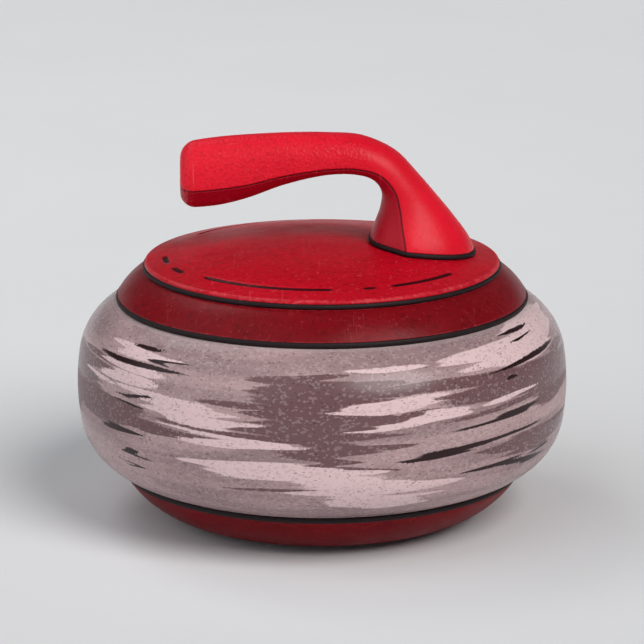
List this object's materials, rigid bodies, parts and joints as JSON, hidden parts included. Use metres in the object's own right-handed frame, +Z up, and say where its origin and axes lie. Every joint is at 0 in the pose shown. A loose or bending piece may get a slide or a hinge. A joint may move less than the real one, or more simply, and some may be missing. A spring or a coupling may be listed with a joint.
{
  "type": "curling stone",
  "caption": "Heavy granite disc that slides on ice on a narrow running band, with a domed top cover and an off-centre gooseneck handle.",
  "frame": {"origin": "on the ice, under the stone's axis", "axes": "+Z up along the stone's axis; the handle lies along X, its foot on the +X side and its free end on the -X side"},
  "size_m": [0.288, 0.288, 0.2276],
  "materials": {
    "granite": "satin",
    "hone_granite": "polished",
    "dark_red": "gloss",
    "base_red": "satin",
    "cover_red": "gloss",
    "grip_red": "satin",
    "black_rubber": "matte",
    "cast_aluminium": "satin",
    "brass": "satin",
    "steel": "satin",
    "nylon": "matte"
  },
  "bodies": {
    "root": {"stone_body": "granite", "running_insert": "hone_granite", "lower_skirt": "base_red", "lower_seal": "black_rubber", "upper_seal": "black_rubber", "upper_ring": "dark_red", "cover_seal": "black_rubber", "top_cover": "cover_red", "plate_cushion": "black_rubber", "load_plate": "cast_aluminium", "hub_insert": "brass", "centre_bolt": "steel", "lock_washer": "steel", "bolt_washer": "steel", "cushion_washer": "nylon", "bore_sleeve": "nylon", "handle_core": "steel", "handle_grip": "grip_red", "foot_seal": "black_rubber", "handle_screws": "steel", "cover_screws": "steel", "boss_inserts": "brass"}
  },
  "joints": []
}
